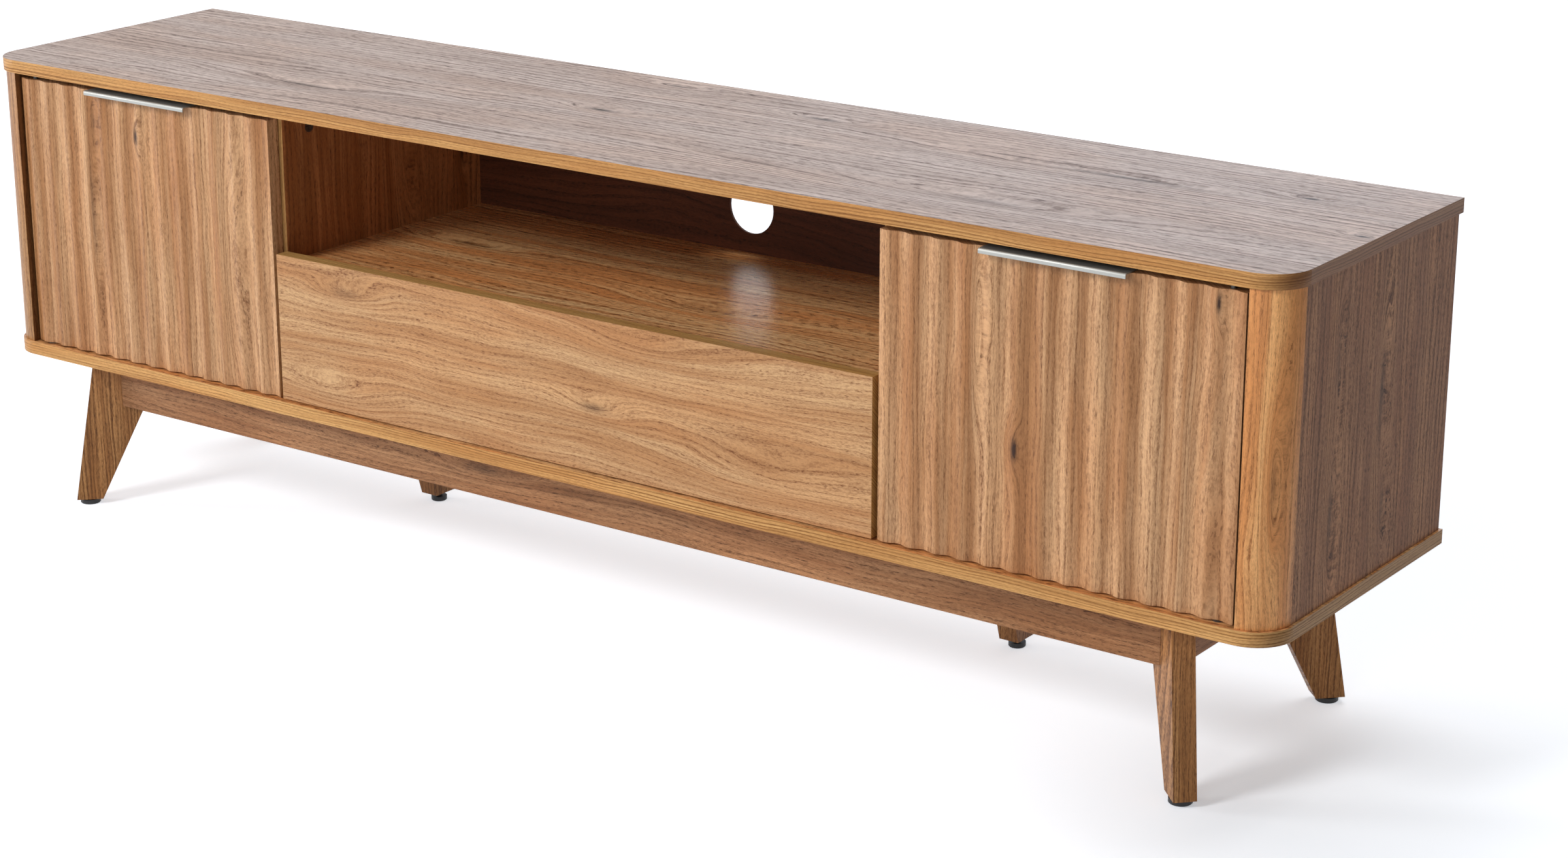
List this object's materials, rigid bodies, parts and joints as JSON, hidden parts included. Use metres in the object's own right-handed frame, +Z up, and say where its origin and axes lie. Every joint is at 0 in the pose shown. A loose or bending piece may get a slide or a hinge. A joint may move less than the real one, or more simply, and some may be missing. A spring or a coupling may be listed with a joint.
{
  "type": "media cabinet",
  "caption": "Low oak-finish media cabinet with wavy doors, an open bay over a wide drawer, quarter-round posts and splayed legs.",
  "frame": {"origin": "on the floor under the middle of the whole object's bounding box", "axes": "+X along the cabinet to the viewer's right, +Y from the doors to the back, +Z up"},
  "size_m": [1.8, 0.395, 0.572],
  "materials": {
    "oak_top": "satin laminate with an open oak grain",
    "oak": "satin laminate with an oak grain and knots",
    "oak_inner": "satin laminate",
    "oak_frame": "satin laminate and varnished wood",
    "back_sheet": "matt printed fibreboard",
    "drawer_box": "satin laminate",
    "aluminium": "satin anodised",
    "zinc_steel": "zinc plated",
    "brown_plastic": "matt",
    "black_plastic": "matt",
    "brass": "zinc-free machined brass"
  },
  "bodies": {
    "carcass": {"top_board": "oak_top", "bottom_board": "oak", "left_side_panel": "oak", "right_side_panel": "oak", "left_corner_post": "oak", "right_corner_post": "oak", "left_partition": "oak_inner", "right_partition": "oak_inner", "media_shelf": "oak_inner", "left_back_sheet": "back_sheet", "centre_back_sheet": "back_sheet", "right_back_sheet": "back_sheet", "left_inner_shelf": "oak_inner", "right_inner_shelf": "oak_inner", "shelf_pins": "zinc_steel", "cam_locks": "brown_plastic", "cam_bolts": "zinc_steel", "media_shelf_screws": "zinc_steel", "pivot_bushes": "brown_plastic", "door_catches": "black_plastic", "runner_outer_members": "zinc_steel", "front_rail": "oak_frame", "rear_rail": "oak_frame", "left_side_rail": "oak_frame", "right_side_rail": "oak_frame", "front_left_leg": "oak_frame", "front_right_leg": "oak_frame", "rear_left_leg": "oak_frame", "rear_right_leg": "oak_frame", "left_centre_leg": "oak_frame", "right_centre_leg": "oak_frame", "corner_plates": "zinc_steel", "leg_bolts": "zinc_steel", "frame_brackets": "zinc_steel", "frame_screws": "zinc_steel", "glide_inserts": "brass"},
    "left_door": {"left_door": "oak", "left_door_handle": "aluminium", "left_handle_screws": "zinc_steel", "left_pivot_pins": "zinc_steel", "left_strike_plate": "zinc_steel"},
    "right_door": {"right_door": "oak", "right_door_handle": "aluminium", "right_handle_screws": "zinc_steel", "right_pivot_pins": "zinc_steel", "right_strike_plate": "zinc_steel"},
    "drawer": {"drawer_front": "oak", "drawer_left_side": "drawer_box", "drawer_right_side": "drawer_box", "drawer_back": "drawer_box", "drawer_bottom": "drawer_box", "drawer_screws": "zinc_steel", "runner_inner_members": "zinc_steel"},
    "runner_middle": {"runner_middle_members": "zinc_steel"},
    "front_left_glide_body": {"front_left_glide": "black_plastic"},
    "front_right_glide_body": {"front_right_glide": "black_plastic"},
    "rear_left_glide_body": {"rear_left_glide": "black_plastic"},
    "rear_right_glide_body": {"rear_right_glide": "black_plastic"},
    "left_centre_glide_body": {"left_centre_glide": "black_plastic"},
    "right_centre_glide_body": {"right_centre_glide": "black_plastic"}
  },
  "joints": [
    {"name": "left_door_hinge", "type": "hinge", "parent": "carcass", "child": "left_door", "pos_m": [-0.8327, -0.1765, 0.211], "axis": [0, 0, -1], "range_deg": [0, 110]},
    {"name": "right_door_hinge", "type": "hinge", "parent": "carcass", "child": "right_door", "pos_m": [0.8327, -0.1765, 0.211], "axis": [0, 0, 1], "range_deg": [0, 110]},
    {"name": "drawer_slide", "type": "slide", "parent": "carcass", "child": "drawer", "axis": [0, -1, 0], "range_m": [0, 0.3]},
    {"name": "runner_middle_slide", "type": "slide", "parent": "carcass", "child": "runner_middle", "axis": [0, -1, 0], "range_m": [0, 0.15]},
    {"name": "front_left_glide_adjust", "type": "slide", "parent": "carcass", "child": "front_left_glide_body", "axis": [0, 0, -1], "range_m": [0, 0.01]},
    {"name": "front_right_glide_adjust", "type": "slide", "parent": "carcass", "child": "front_right_glide_body", "axis": [0, 0, -1], "range_m": [0, 0.01]},
    {"name": "rear_left_glide_adjust", "type": "slide", "parent": "carcass", "child": "rear_left_glide_body", "axis": [0, 0, -1], "range_m": [0, 0.01]},
    {"name": "rear_right_glide_adjust", "type": "slide", "parent": "carcass", "child": "rear_right_glide_body", "axis": [0, 0, -1], "range_m": [0, 0.01]},
    {"name": "left_centre_glide_adjust", "type": "slide", "parent": "carcass", "child": "left_centre_glide_body", "axis": [0, 0, -1], "range_m": [0, 0.01]},
    {"name": "right_centre_glide_adjust", "type": "slide", "parent": "carcass", "child": "right_centre_glide_body", "axis": [0, 0, -1], "range_m": [0, 0.01]}
  ],
  "couplings": [
    {"joint": "runner_middle_slide", "follows": "drawer_slide", "ratio": 0.5}
  ]
}
